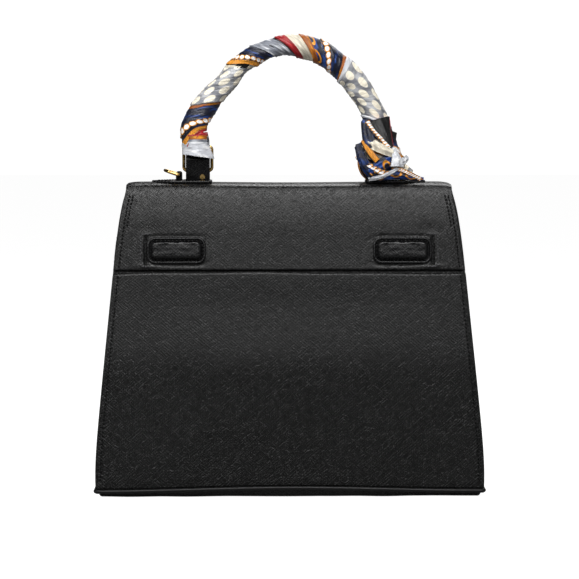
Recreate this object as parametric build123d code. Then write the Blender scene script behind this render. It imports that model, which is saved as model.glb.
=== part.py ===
from build123d import *
import math
import os

os.makedirs("parts", exist_ok=True)

# ---------------------------------------------------------------- driving dimensions (mm)
# Frame: origin at the centre of the footprint on the floor, +Z up, the front faces -Y.
# "right" is the +X side and "left" the -X side of the bag seen from its front.
BOTTOM_W = 282.0        # body width at the base
TOP_W = 240.0           # body width at the top edge
BOTTOM_D = 120.0        # body depth at the base
TOP_D = 45.0            # body depth at the top edge
FOOT_H = 3.5            # height of the base above the floor
BODY_TOP = 223.0        # height of the rear top edge, where the flap turns over
FRONT_TOP = 216.0       # height of the front panel, hidden under the flap
PANEL_T = 2.6           # board-backed leather of the front, back and base
GUSSET_TOP = 206.0
GUSSET_T = 2.0

POCKET_TOP = 163.5      # mouth of the slip pocket on the back
POCKET_T = 1.6

BELT_Z = 178.0          # mid height of the belt straps
BELT_H = 20.0
BELT_T = 2.2
SLIT_X = (103.2, 108.2) # slit in the back panel that the belt passes through

FLAP_T = 1.8            # outer leather of the flap
FLAP_LINING_T = 1.0
FLAP_GAP = 0.5          # flap lining to front panel
FLAP_SIDE_Z = 192.0     # lower edge of the flap either side of the tongue
TONGUE_Z = 152.0        # tip of the tongue
TONGUE_HALF = 24.0
FLAP_TOP = BODY_TOP + FLAP_GAP + FLAP_LINING_T + FLAP_T

LOCK_SLOT = (6.6, 161.5, 183.5)   # width, lowest and highest z of the slot in the flap
HANDLE_X = 67.5         # middle of each handle mount
PIVOT_Z = 235.5         # bars of the handle rings, the axis the handle swings on
RING_WIRE = 1.2         # wire radius of the handle rings
RING_TOP_Z = 253.5
HANDLE_R = 7.0          # leather-covered handle
SCARF_R = 10.2          # over the silk wrapped round it

LEAN = math.atan2((BOTTOM_D - TOP_D) / 2, BODY_TOP - FOOT_H)


# ---------------------------------------------------------------- helpers
def half_w(z):
    """Half width of the body at height z."""
    t = (z - FOOT_H) / (BODY_TOP - FOOT_H)
    return (BOTTOM_W + (TOP_W - BOTTOM_W) * t) / 2


def half_d(z):
    """Half depth of the body at height z."""
    t = (z - FOOT_H) / (BODY_TOP - FOOT_H)
    return (BOTTOM_D + (TOP_D - BOTTOM_D) * t) / 2


def panel_plane(side):
    """Outer face of the back (side 1) or front (side -1) panel; local Y runs up the slope."""
    return Plane(
        origin=(0, side * BOTTOM_D / 2, FOOT_H),
        x_dir=(-side, 0, 0),
        z_dir=(0, side * math.cos(LEAN), math.sin(LEAN)),
    )


def on_panel(side, x, z):
    """Point (x, z) as local coordinates of the panel plane."""
    return (-side * x, (z - FOOT_H) / math.cos(LEAN))


def plate(side, outline, inner, outer, radius=0.0):
    """Plate parallel to a panel between two distances outward from the panel's outer face."""
    points = [on_panel(side, x, z) for x, z in outline]
    if isinstance(radius, (list, tuple)) or radius > 0:
        face = make_face(FilletPolyline(*points, radius=radius, close=True))
    else:
        face = make_face(Polyline(*points, close=True))
    plane = panel_plane(side).offset(inner)
    return extrude(plane * face, amount=outer - inner, dir=plane.z_dir)


def body_outline(margin, low, high):
    """Corners of the tapered panel shape, drawn in by a side margin."""
    return [
        (margin - half_w(low), low),
        (half_w(low) - margin, low),
        (half_w(high) - margin, high),
        (margin - half_w(high), high),
    ]


def rectangle(x0, x1, z0, z1):
    """Corners of an upright rectangle."""
    return [(x0, z0), (x1, z0), (x1, z1), (x0, z1)]


def block(x0, x1, y0, y1, z0, z1):
    """Box given by its six faces."""
    middle = ((x0 + x1) / 2, (y0 + y1) / 2, (z0 + z1) / 2)
    return Pos(*middle) * Box(abs(x1 - x0), abs(y1 - y0), abs(z1 - z0))


def offset_path(points, distance):
    """Open polyline moved sideways by a distance, to the left of its direction, with mitred corners."""
    moved = []
    for i, (px, py) in enumerate(points):
        normals = []
        for j in (i - 1, i):
            if 0 <= j < len(points) - 1:
                dx = points[j + 1][0] - points[j][0]
                dy = points[j + 1][1] - points[j][1]
                size = math.hypot(dx, dy)
                normals.append((-dy / size, dx / size))
        nx = sum(n[0] for n in normals) / len(normals)
        ny = sum(n[1] for n in normals) / len(normals)
        scale = distance / (nx * nx + ny * ny)
        moved.append((px + nx * scale, py + ny * scale))
    return moved


def belt_strip(path_at, thickness):
    """Belt strap whose plan path is given at any height; it leans with the panels."""
    sections = []
    for z in (BELT_Z - BELT_H / 2, BELT_Z + BELT_H / 2):
        path = path_at(z)
        ring = offset_path(path, thickness / 2) + offset_path(path, -thickness / 2)[::-1]
        sections.append(make_face(Polyline(*[(x, y, z) for x, y in ring], close=True)))
    return loft(sections, ruled=True)


def tube(path, outer, inner=0.0):
    """Round tube or rod along a path."""
    start = Plane(origin=path @ 0, z_dir=path % 0)
    solid = sweep(start * Circle(outer), path=path)
    if inner > 0:
        solid = solid - sweep(start * Circle(inner), path=path)
    return solid


def at_right(shape, side):
    """The shape as drawn for the +X side, or its mirror image for the -X side."""
    return shape if side > 0 else mirror(shape, about=Plane.YZ)


def save(shape, name):
    """Write one piece of the assembly."""
    solids = shape.solids()
    if len(solids) != 1:
        raise ValueError(f"{name} came out as {len(solids)} solids")
    export_step(solids[0], f"parts/{name}.step")


SIDES = (("right", 1), ("left", -1))

# ---------------------------------------------------------------- front, back and base panels
boss_hole = plate(-1, rectangle(-2.9, 2.9, BELT_Z - 4.2, BELT_Z + 4.2), -10, 10, 2.6)
front_panel = plate(-1, body_outline(0, FOOT_H, FRONT_TOP), -PANEL_T, 0) - boss_hole
save(front_panel, "front_panel")

back_panel = plate(1, body_outline(0, FOOT_H, BODY_TOP), -PANEL_T, 0)
for _, side in SIDES:
    belt_slit = rectangle(
        side * SLIT_X[0], side * SLIT_X[1], BELT_Z - BELT_H / 2 - 0.6, BELT_Z + BELT_H / 2 + 0.6
    )
    back_panel -= plate(1, belt_slit, -10, 10)
save(back_panel, "back_panel")

# The slip pocket is one flat sheet sewn to the back along its sides and foot.
save(plate(1, body_outline(0, 7.2, POCKET_TOP), 0, POCKET_T), "rear_pocket_panel")

PANEL_INSET = PANEL_T / math.cos(LEAN)
base_half_d = half_d(FOOT_H + PANEL_T) - PANEL_INSET - 0.05
base_panel = block(-140, 140, -base_half_d, base_half_d, FOOT_H, FOOT_H + PANEL_T)
save(base_panel, "base_panel")

save(block(-132, 132, -51, 51, 6.3, 8.3), "base_board")
save(block(-131, 131, -50.5, 50.5, 8.5, 9.3), "lining_base")

# ---------------------------------------------------------------- folding side gussets
GUSSET_FOLD = ((FOOT_H + PANEL_T + 0.1, 1.5), (110.0, 9.0), (GUSSET_TOP, 22.0))


def gusset_section(z, fold):
    """V-shaped plan section of the right gusset, folded inward by the given depth."""
    edge = half_w(z) - 1.2
    reach = half_d(z) - PANEL_INSET - 0.05
    ring = [
        (edge, reach, z),
        (edge - fold, 0, z),
        (edge, -reach, z),
        (edge - GUSSET_T, -reach, z),
        (edge - GUSSET_T - fold, 0, z),
        (edge - GUSSET_T, reach, z),
    ]
    return make_face(Polyline(*ring, close=True))


gusset = loft([gusset_section(z, fold) for z, fold in GUSSET_FOLD], ruled=True)
gusset -= block(113, 130, 17, 32, BELT_Z - BELT_H / 2 - 1.2, BELT_Z + BELT_H / 2 + 1.2)
for name, side in SIDES:
    save(at_right(gusset, side), f"gusset_{name}")

# ---------------------------------------------------------------- piping and feet
WELT_R = 1.4
welt_x = BOTTOM_W / 2 + WELT_R + 0.1
welt_y = BOTTOM_D / 2 + WELT_R + 0.1
welt_z = FOOT_H + 1.7
welt_points = [
    (-welt_x, -welt_y, welt_z),
    (welt_x, -welt_y, welt_z),
    (welt_x, welt_y, welt_z),
    (-welt_x, welt_y, welt_z),
]
welt_path = FilletPolyline(*welt_points, radius=1.5, close=True)
save(tube(welt_path, WELT_R), "base_welt")

FOOT_R = 6.0
foot = Pos(0, 0, FOOT_H / 2) * Cylinder(FOOT_R, FOOT_H)
foot = fillet(foot.edges().group_by(Axis.Z)[0], 1.4)
for end, y in (("front", -44), ("rear", 44)):
    for name, side in SIDES:
        save(Pos(side * 120, y, 0) * foot, f"foot_{end}_{name}")

# ---------------------------------------------------------------- lining
LINING_T = 0.8
lining_in = -PANEL_T - 0.2 - LINING_T
lining_out = -PANEL_T - 0.2
lining_front = plate(-1, body_outline(8, 9.6, FRONT_TOP - 3), lining_in, lining_out)
lining_front -= plate(-1, rectangle(-9, 9, BELT_Z - 10, BELT_Z + 10), -10, 0)
save(lining_front, "lining_front")

lining_back = plate(1, body_outline(8, 9.6, BODY_TOP - 4), lining_in, lining_out)
for _, side in SIDES:
    window = rectangle(side * 101, side * 135, BELT_Z - BELT_H / 2 - 2, BELT_Z + BELT_H / 2 + 2)
    lining_back -= plate(1, window, -10, 0)
save(lining_back, "lining_back")

# ---------------------------------------------------------------- belt straps
TAB_IN = 61.0           # rounded inner end of each strap tab on the back


def rear_belt_path(z):
    """From the tab on the back, through the slit, inside past the gusset and round the side."""
    d = half_d(z)
    w = half_w(z)
    inside = d - PANEL_INSET - 1.6
    return [
        (TAB_IN, d + 1.4),
        (104.0, d + 1.4),
        (107.5, inside),
        (w - 5.8, inside),
        (w + 1.0, d - 9.0),
        (w + 2.4, 4.5 - d),
    ]


def front_belt_path(z):
    """From the front side edge along the front and up over the tongue of the flap."""
    d = half_d(z)
    w = half_w(z)
    return [
        (w + 2.7, 0.8 - d),
        (w + 2.7, -d - 1.8),
        (44.0, -d - 1.8),
        (36.0, -d - 5.4),
        (17.5, -d - 5.4),
    ]


rear_belt = belt_strip(rear_belt_path, BELT_T)
tab_mask = plate(1, rectangle(TAB_IN, 160, BELT_Z - BELT_H / 2, BELT_Z + BELT_H / 2), -90, 20, (6, 0, 0, 6))
rear_belt &= tab_mask
front_belt = belt_strip(front_belt_path, 2.0)

# Each belt ends in a metal plate; the two plates meet with a notch round the lock boss.
belt_plate = plate(-1, rectangle(0.5, 31.0, BELT_Z - 10.4, BELT_Z + 10.4), 6.6, 7.6, (1, 3, 3, 1))
belt_plate -= plate(-1, rectangle(-3.8, 3.8, BELT_Z - 7.5, BELT_Z + 7.5), 0, 12)
rivet_holes = []
rivets = {}
for place, z in (("upper", BELT_Z + 5.5), ("lower", BELT_Z - 5.5)):
    spot = panel_plane(-1).offset(4.0) * Pos(*on_panel(-1, 25.5, z), 0)
    rivet_holes.append(spot * Pos(0, 0, 2.0) * Cylinder(1.3, 8.0))
    rivets[place] = spot * Pos(0, 0, 2.2) * Cylinder(1.3, 4.4)
for hole in rivet_holes:
    belt_plate -= hole
    front_belt -= hole

for name, side in SIDES:
    save(at_right(rear_belt, side), f"belt_{name}_rear")
    save(at_right(front_belt, side), f"belt_{name}_front")
    save(at_right(belt_plate, side), f"belt_{name}_plate")
    for place, rivet in rivets.items():
        save(at_right(rivet, side), f"belt_{name}_rivet_{place}")

# ---------------------------------------------------------------- turn lock
boss = plate(-1, rectangle(-2.7, 2.7, BELT_Z - 4.0, BELT_Z + 4.0), -PANEL_T, 8.0, 2.5)
lock_spot = panel_plane(-1) * Pos(*on_panel(-1, 0, BELT_Z), 0)
boss -= lock_spot * Pos(0, 0, 6.0) * Cylinder(1.4, 6.0)
save(boss, "lock_boss")
save(plate(-1, rectangle(-7, 7, BELT_Z - 8, BELT_Z + 8), -PANEL_T - 1.0, -PANEL_T, 2.0), "lock_backplate")

knob = plate(-1, rectangle(-2.3, 2.3, BELT_Z - 4.5, BELT_Z + 4.5), 8.3, 11.8, 2.2)
knob += lock_spot * Pos(0, 0, 6.6) * Cylinder(1.1, 5.0)
save(knob, "turn_knob")

# ---------------------------------------------------------------- flap
BEND_R = 4.0            # inner bend where the top turns down the front


def flap_layer(inner, outer):
    """Sheet over the top and down the front, between two distances off the body."""
    low = 145.0
    path = [(TOP_D / 2, BODY_TOP), (-TOP_D / 2, BODY_TOP), (-half_d(low), low)]
    far = offset_path(path, -outer)
    near = offset_path(path, -inner)
    points = far + near[::-1]
    radii = (0, BEND_R + outer, 0, 0, BEND_R + inner, 0)
    face = make_face(FilletPolyline(*points, radius=radii, close=True))
    section = Plane(origin=(0, 0, 0), x_dir=(0, 1, 0), z_dir=(1, 0, 0)) * face
    return extrude(section, amount=140, dir=(1, 0, 0), both=True)


def flap_mask(margin):
    """Front view of the flap: wide sides and a central tongue."""
    low = FLAP_SIDE_Z + margin
    tip = TONGUE_Z + margin
    side_x = half_w(FLAP_SIDE_Z) + 0.8 - margin
    top_x = TOP_W / 2 + 0.6 - margin
    tongue = TONGUE_HALF - margin
    right = [(tongue, tip), (tongue, low), (side_x, low), (top_x, 240.0)]
    left = [(-x, z) for x, z in right[::-1]]
    radii = (9, 9, 8, 0, 0, 8, 9, 9)
    face = make_face(FilletPolyline(*(right + left), radius=radii, close=True))
    return extrude(Plane.XZ * face, amount=90, both=True)


slot_w, slot_low, slot_high = LOCK_SLOT
slot_rect = rectangle(-slot_w / 2, slot_w / 2, slot_low, slot_high)
lock_slot = plate(-1, slot_rect, -5, 8, 3.0)

leather_in = FLAP_GAP + FLAP_LINING_T
leather_out = leather_in + FLAP_T
flap = flap_layer(leather_in, leather_out) & flap_mask(0)
flap -= lock_slot
save(flap, "flap")
flap_lining = flap_layer(FLAP_GAP, leather_in - 0.05) & flap_mask(1.5)
flap_lining -= lock_slot
save(flap_lining, "flap_lining")

flap_plate = plate(-1, rectangle(-14, 14, 157.5, 187.5), leather_out, leather_out + 0.9, 3.0)
flap_plate -= lock_slot
flap_studs = {}
for name, side in SIDES:
    spot = panel_plane(-1).offset(leather_out) * Pos(*on_panel(-1, side * 9.5, 172.5), 0)
    flap_plate -= spot * Cylinder(1.1, 4.0)
    flap_studs[name] = spot * Pos(0, 0, 0.75) * Cylinder(1.1, 1.5)
save(flap_plate, "flap_plate")
for name, stud in flap_studs.items():
    save(stud, f"flap_plate_rivet_{name}")

# ---------------------------------------------------------------- handle mounts on the flap
PAD_T = 2.2
CHAPE_HALF = 7.5
CHAPE_Y = 4.2
CHAPE_TOP = 247.2
D_BAR_X = 81.5          # bar of each D-ring
D_BAR_Z = 232.4
D_WIRE = 1.1
D_HALF = 8.0
D_LENGTH = 12.2

pad_points = [(57, -11), (86.5, -12), (102.5, 0), (86.5, 12), (57, 11)]
pad_face = make_face(FilletPolyline(*pad_points, radius=(3, 4, 1.2, 4, 3), close=True))
pad = extrude(Pos(0, 0, FLAP_TOP) * pad_face, amount=PAD_T)
pad_top = FLAP_TOP + PAD_T

chape_points = [
    (-CHAPE_Y, pad_top),
    (CHAPE_Y, pad_top),
    (CHAPE_Y, CHAPE_TOP),
    (-CHAPE_Y, CHAPE_TOP),
]
chape_face = make_face(FilletPolyline(*chape_points, radius=(0, 0, 4.1, 4.1), close=True))
side_plane = Plane(origin=(HANDLE_X, 0, 0), x_dir=(0, 1, 0), z_dir=(1, 0, 0))
chape = extrude(side_plane * chape_face, amount=CHAPE_HALF, both=True)
chape -= Pos(HANDLE_X, 0, PIVOT_Z) * Rot(0, 90, 0) * Cylinder(RING_WIRE + 0.35, 40)
rivet_spot = Pos(HANDLE_X - 3.5, 0, 231.0) * Rot(90, 0, 0)
chape -= rivet_spot * Cylinder(1.0, 20)
chape_rivet = rivet_spot * Cylinder(1.0, 2 * CHAPE_Y)
for end in (-1, 1):
    chape_rivet += rivet_spot * Pos(0, 0, end * (CHAPE_Y + 0.4)) * Cylinder(1.9, 0.8)

# Leather keeper that holds the bar of the D-ring down on the pad.
keeper_top = D_BAR_Z + D_WIRE + 1.6
keeper = block(D_BAR_X - 2.3, D_BAR_X + 2.3, -4.6, 4.6, pad_top, keeper_top)
keeper = fillet(keeper.edges().group_by(Axis.Z)[-1].filter_by(Axis.Y), 1.8)
keeper -= Pos(D_BAR_X, 0, D_BAR_Z) * Rot(90, 0, 0) * Cylinder(D_WIRE + 0.3, 40)


def d_ring(tilt):
    """D-ring with its bar along Y, its bow pointing outward and raised by the tilt in degrees."""
    bow = D_LENGTH - 5.0
    points = [(0, -D_HALF), (bow, -D_HALF), (D_LENGTH, 0), (bow, D_HALF), (0, D_HALF)]
    path = FilletPolyline(*points, radius=(1.6, 5.0, 7.0, 5.0, 1.6), close=True)
    ring = tube(path, D_WIRE)
    return Pos(D_BAR_X, 0, D_BAR_Z) * Rot(0, -tilt, 0) * ring


D_TILT = {"right": 18.0, "left": 2.0}

for name, side in SIDES:
    save(at_right(pad, side), f"handle_pad_{name}")
    save(at_right(chape, side), f"handle_chape_{name}")
    save(at_right(chape_rivet, side), f"chape_rivet_{name}")
    save(at_right(keeper, side), f"ring_keeper_{name}")
    save(at_right(d_ring(D_TILT[name]), side), f"strap_ring_{name}")

# ---------------------------------------------------------------- handle
ring_half = 10.4
ring_points = [
    (HANDLE_X - ring_half, 0, PIVOT_Z),
    (HANDLE_X + ring_half, 0, PIVOT_Z),
    (HANDLE_X + ring_half, 0, RING_TOP_Z),
    (HANDLE_X - ring_half, 0, RING_TOP_Z),
]
ring_path = FilletPolyline(*ring_points, radius=2.6, close=True)
handle_ring = tube(ring_path, RING_WIRE)

END_LOW = 249.8
END_HIGH = 261.0
handle_end = block(HANDLE_X - 8.0, HANDLE_X + 8.0, -5.4, 5.4, END_LOW, END_HIGH)
handle_end = fillet(handle_end.edges().filter_by(Axis.X), 2.0)
handle_end -= Pos(HANDLE_X, 0, RING_TOP_Z) * Rot(0, 90, 0) * Cylinder(RING_WIRE + 0.05, 40)
for name, side in SIDES:
    save(at_right(handle_ring, side), f"handle_ring_{name}")
    save(at_right(handle_end, side), f"handle_end_{name}")

# The arched centreline: upright ends, sloping shoulders and a round crown.
SHOULDER = (HANDLE_X, 279.0)
CROWN = (28.0, 326.0)
arch_right = [(HANDLE_X, END_HIGH), SHOULDER, CROWN]
arch_points = [(x, 0, z) for x, z in arch_right] + [(-x, 0, z) for x, z in arch_right[::-1]]
arch = FilletPolyline(*arch_points, radius=(30.0, 59.0, 59.0, 30.0))
CORE_R = 4.6
save(tube(arch, CORE_R), "handle_core")
save(tube(arch, HANDLE_R, CORE_R), "handle_cover")

# ---------------------------------------------------------------- scarf
wrap = tube(arch, SCARF_R, HANDLE_R + 0.1)
wrap -= block(-100, 100, -30, 30, 240, END_HIGH + 1.0)
save(wrap, "scarf_wrap")


def scarf_sleeve(half_x, half_y, low, high):
    """Band of silk wrapped round one handle end and its ring."""
    middle = (low + high) / 2
    spot = Pos(HANDLE_X, 0, middle)
    outer = spot * Box(2 * half_x, 2 * half_y, high - low)
    outer = fillet(outer.edges().filter_by(Axis.Z), 6.0)
    inner = spot * Box(2 * ring_half + 2 * RING_WIRE + 0.8, 12.4, high - low + 2)
    return outer - inner


save(scarf_sleeve(14.2, 9.4, END_LOW + 0.4, END_HIGH), "scarf_end_band")
save(mirror(scarf_sleeve(16.5, 11.5, END_LOW + 0.4, END_HIGH), about=Plane.YZ), "scarf_knot")

tail_points = [(-54, 13), (-92, 13), (-100, 17.5), (-90, 21), (-58, 20.5)]
tail_face = make_face(FilletPolyline(*tail_points, radius=(2, 2, 1.2, 2, 2), close=True))
save(extrude(Pos(0, 0, FLAP_TOP + 0.1) * tail_face, amount=4.0), "scarf_tails")
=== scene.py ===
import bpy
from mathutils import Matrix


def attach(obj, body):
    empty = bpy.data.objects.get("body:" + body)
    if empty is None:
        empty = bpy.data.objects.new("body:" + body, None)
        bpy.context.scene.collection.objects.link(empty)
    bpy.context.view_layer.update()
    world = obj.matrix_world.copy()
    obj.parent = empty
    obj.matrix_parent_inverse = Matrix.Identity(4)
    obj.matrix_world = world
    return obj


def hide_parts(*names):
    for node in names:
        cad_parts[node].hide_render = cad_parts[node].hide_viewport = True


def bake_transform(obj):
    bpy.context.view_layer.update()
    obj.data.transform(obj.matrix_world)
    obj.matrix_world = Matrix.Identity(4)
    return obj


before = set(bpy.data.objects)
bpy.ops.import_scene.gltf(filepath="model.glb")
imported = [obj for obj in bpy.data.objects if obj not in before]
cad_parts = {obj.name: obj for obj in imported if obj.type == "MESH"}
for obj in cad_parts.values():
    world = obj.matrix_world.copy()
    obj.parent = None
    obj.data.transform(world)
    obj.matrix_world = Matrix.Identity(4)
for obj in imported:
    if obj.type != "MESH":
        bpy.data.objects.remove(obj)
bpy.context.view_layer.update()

import math

import bmesh
import bpy
from mathutils import Vector, noise

# ---------------------------------------------------------------- driving dimensions in mm, as in the CAD
MM = 0.001
BOTTOM_W, TOP_W = 282.0, 240.0
BOTTOM_D, TOP_D = 120.0, 45.0
FOOT_H, BODY_TOP, FRONT_TOP = 3.5, 223.0, 216.0
POCKET_LOW, POCKET_TOP = 7.2, 162.2
BELT_Z, BELT_H = 178.0, 20.0
TAB_IN, TAB_END, TAB_CORNER, SLIT_X = 61.0, 104.6, 6.5, 105.2
TAB_GROOVE = 2.7        # the sewn groove of a tab runs this far inside its edge
SEAM_IN = 4.2           # and the side seams this far inside the side edges
TAB_MIDDLE, TAB_HALF = (TAB_IN + TAB_END) / 2, (TAB_END - TAB_IN) / 2
FLAP_OUT = 3.3          # outer face of the flap in front of the front panel
FLAP_TOP = 226.3
FLAP_SIDE_Z, TONGUE_Z, TONGUE_HALF, TONGUE_R = 192.0, 152.0, 24.0, 9.0
GUSSET_TOP, PANEL_INSET = 206.0, 2.64
HANDLE_X = 67.5
SIDE_BOW = 3.4          # the soft sides stand this far outside their straight taper
BACK_BULGE = 4.8        # the back and front swell this far in their lower half
BEND_Z = 97.0           # height where the back is furthest out
BASE_BOW = 2.4          # the foot of the bag lifts this much between its corners

LEAN = math.atan2((BOTTOM_D - TOP_D) / 2, BODY_TOP - FOOT_H)
COS_LEAN, SIN_LEAN = math.cos(LEAN), math.sin(LEAN)
SIDES = (("right", 1), ("left", -1))


# ---------------------------------------------------------------- shape helpers
def rise(z):
    """Height as a fraction from the base to the rear top edge."""
    return (z - FOOT_H) / (BODY_TOP - FOOT_H)


def half_d(z):
    return (BOTTOM_D + (TOP_D - BOTTOM_D) * rise(z)) / 2


def half_w(z):
    """Half width of the soft body, which bows out a little between base and top."""
    t = min(max(rise(z), 0.0), 1.0)
    return (BOTTOM_W + (TOP_W - BOTTOM_W) * rise(z)) / 2 + SIDE_BOW * (1 - (2 * t - 1) ** 6)


def smooth(low, high, value):
    """0 below low, 1 above high and a soft step between."""
    t = min(max((value - low) / (high - low), 0.0), 1.0)
    return t * t * (3 - 2 * t)


def hump(distance, width):
    """Bell curve, 1 in its middle."""
    return math.exp(-((distance / width) ** 2))


def base_bow(x):
    return BASE_BOW * math.cos(math.pi * min(abs(x) / 141.0, 1.0) / 2) ** 2


def on_panel(side, x, z, out=0.0):
    """Point in front of the back (1) or front (-1) panel face, out along its normal."""
    return Vector((x, side * (half_d(z) + out * COS_LEAN), z + out * SIN_LEAN))


def soft_bend(z):
    """The back is bent a little at a third of its height: steeper below the bend, leaning more above."""
    below, above = BACK_BULGE * (z - FOOT_H) / BEND_Z, BACK_BULGE * (BODY_TOP - z) / (BODY_TOP - BEND_Z)
    softness = 0.42
    return -softness * math.log(math.exp(-below / softness) + math.exp(-above / softness))


def swell(x, z):
    """How far the leather of the back stands proud of the flat panel."""
    fade = 1 - 0.6 * (abs(x) / half_w(z)) ** 4
    soft = 0.35 * noise.noise(Vector((x / 46, z / 38, 3.1)))
    turn_in = 3.0 * (max(0.0, z - 190) / 31) ** 2.2
    return (soft_bend(z) + soft) * fade - turn_in


def spaced(breaks, steps):
    """Values through the breaks, each stretch cut into steps no larger than the one given for it."""
    values = [breaks[0]]
    for low, high, step in zip(breaks, breaks[1:], steps):
        count = max(1, math.ceil(abs(high - low) / step - 1e-6))
        values += [low + (high - low) * i / count for i in range(1, count + 1)]
    return values


def mirrored(values):
    return [-v for v in values[:0:-1]] + list(values)


def rounded_distance(x, z, half_x, half_z, radius):
    """Distance outside (+) or inside (-) a rounded rectangle about the origin."""
    dx = abs(x) - half_x + radius
    dz = abs(z) - half_z + radius
    return math.hypot(max(dx, 0), max(dz, 0)) + min(max(dx, dz), 0) - radius


def smooth_path(points, rounds=3):
    """Corner cutting: turns a given polyline into a smooth one and keeps its ends."""
    for _ in range(rounds):
        cut = [points[0]]
        for a, b in zip(points, points[1:]):
            cut += [a.lerp(b, 0.25), a.lerp(b, 0.75)]
        points = cut + [points[-1]]
    return points


def path_length(points):
    return sum((b - a).length for a, b in zip(points, points[1:]))


def resampled(points, step):
    """Points at even steps along a polyline."""
    lengths = [0.0]
    for a, b in zip(points, points[1:]):
        lengths.append(lengths[-1] + (b - a).length)
    count = max(2, round(lengths[-1] / step))
    result, j = [], 0
    for i in range(count + 1):
        target = lengths[-1] * i / count
        while j < len(points) - 2 and lengths[j + 1] < target:
            j += 1
        part = (target - lengths[j]) / max(lengths[j + 1] - lengths[j], 1e-9)
        result.append(points[j].lerp(points[j + 1], min(max(part, 0), 1)))
    return result


# ---------------------------------------------------------------- mesh helpers
def linked(name, data):
    """New object in the scene."""
    obj = bpy.data.objects.new(name, data)
    bpy.context.scene.collection.objects.link(obj)
    return obj


def add_object(name, points, faces, slots, face_slots=None, uvs=None):
    """Object from points in mm. slots are its materials and uvs one (u, v) in mm for each point."""
    mesh = bpy.data.meshes.new(name)
    mesh.from_pydata([Vector(p) * MM for p in points], [], faces)
    for material in slots:
        mesh.materials.append(material)
    if face_slots:
        mesh.polygons.foreach_set("material_index", face_slots)
    mesh.polygons.foreach_set("use_smooth", [True] * len(mesh.polygons))
    if uvs:
        layer = mesh.uv_layers.new(name="UVMap")
        for loop in mesh.loops:
            layer.data[loop.index].uv = uvs[loop.vertex_index]
    return linked(name, mesh)


def grid_faces(across, along, wrap=False, closed=False):
    """Quads of a grid of points stored row by row. wrap joins the columns up, closed the rows."""
    faces = []
    for j in range(along if closed else along - 1):
        here, ahead = j * across, (j + 1) % along * across
        for i in range(across if wrap else across - 1):
            k = (i + 1) % across
            faces.append((here + i, here + k, ahead + k, ahead + i))
    return faces


def applied(obj):
    """Bakes the modifiers into the mesh."""
    graph = bpy.context.evaluated_depsgraph_get()
    mesh = bpy.data.meshes.new_from_object(obj.evaluated_get(graph))
    obj.modifiers.clear()
    obj.data = mesh
    return obj


def rounded_edges(obj, width, angle):
    """Rounds the edges that turn by more than angle degrees."""
    bevel = obj.modifiers.new("edge", "BEVEL")
    bevel.width = width * MM
    bevel.segments = 3
    bevel.limit_method = "ANGLE"
    bevel.angle_limit = math.radians(angle)
    return bevel


def thicken(obj, thickness, edge=0.5):
    """Gives a sheet its thickness and rounds its cut edges."""
    solidify = obj.modifiers.new("thickness", "SOLIDIFY")
    solidify.thickness = thickness * MM
    solidify.offset = -1.0
    rounded_edges(obj, edge, 66)
    return applied(obj)


def assign(obj, slot, body, *nodes):
    """Says which body a piece moves with and which CAD nodes it stands for. The slot argument is not used.
    """
    if nodes:
        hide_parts(*nodes)
    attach(obj, body)
    return obj


def box_uv(obj):
    """UVs in mm, each face projected along the axis that it faces most."""
    mesh = obj.data
    layer = mesh.uv_layers.get("UVMap") or mesh.uv_layers.new(name="UVMap")
    for face in mesh.polygons:
        sizes = [abs(c) for c in face.normal]
        axis = sizes.index(max(sizes))
        u, v = ((1, 2), (0, 2), (0, 1))[axis]
        for loop in face.loop_indices:
            co = mesh.vertices[mesh.loops[loop].vertex_index].co
            layer.data[loop].uv = (co[u] / MM, co[v] / MM)
    return obj


def closed_sheet(name, us, vs, top, bottom, material):
    """Closed piece between two surfaces over one grid. They share the points of the border."""
    nu, nv = len(us), len(vs)
    points = [top(u, v) for v in vs for u in us]
    faces = grid_faces(nu, nv)
    under = {}
    for j in range(nv):
        for i in range(nu):
            k = j * nu + i
            if 0 < i < nu - 1 and 0 < j < nv - 1:
                under[k] = len(points)
                points.append(bottom(us[i], vs[j]))
            else:
                under[k] = k
    faces += [tuple(under[k] for k in face[::-1]) for face in grid_faces(nu, nv)]
    obj = add_object(name, points, faces, [material])
    mesh = bmesh.new()
    mesh.from_mesh(obj.data)
    bmesh.ops.recalc_face_normals(mesh, faces=mesh.faces)
    mesh.to_mesh(obj.data)
    mesh.free()
    return box_uv(obj)


def softened(node, material, width):
    """Copy of a CAD node with rounded edges, which stands for it."""
    obj = linked(node + "_soft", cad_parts[node].data.copy())
    mesh = bmesh.new()
    mesh.from_mesh(obj.data)
    bmesh.ops.remove_doubles(mesh, verts=mesh.verts, dist=0.01 * MM)
    bmesh.ops.dissolve_limit(
        mesh, angle_limit=math.radians(2), verts=mesh.verts, edges=mesh.edges, delimit={"NORMAL"}
    )
    for face in mesh.faces:
        face.smooth = True
    mesh.to_mesh(obj.data)
    mesh.free()
    obj.data.materials.clear()
    obj.data.materials.append(material)
    rounded_edges(obj, width, 32).harden_normals = True
    applied(obj)
    box_uv(obj)
    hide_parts(node)
    return obj


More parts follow.
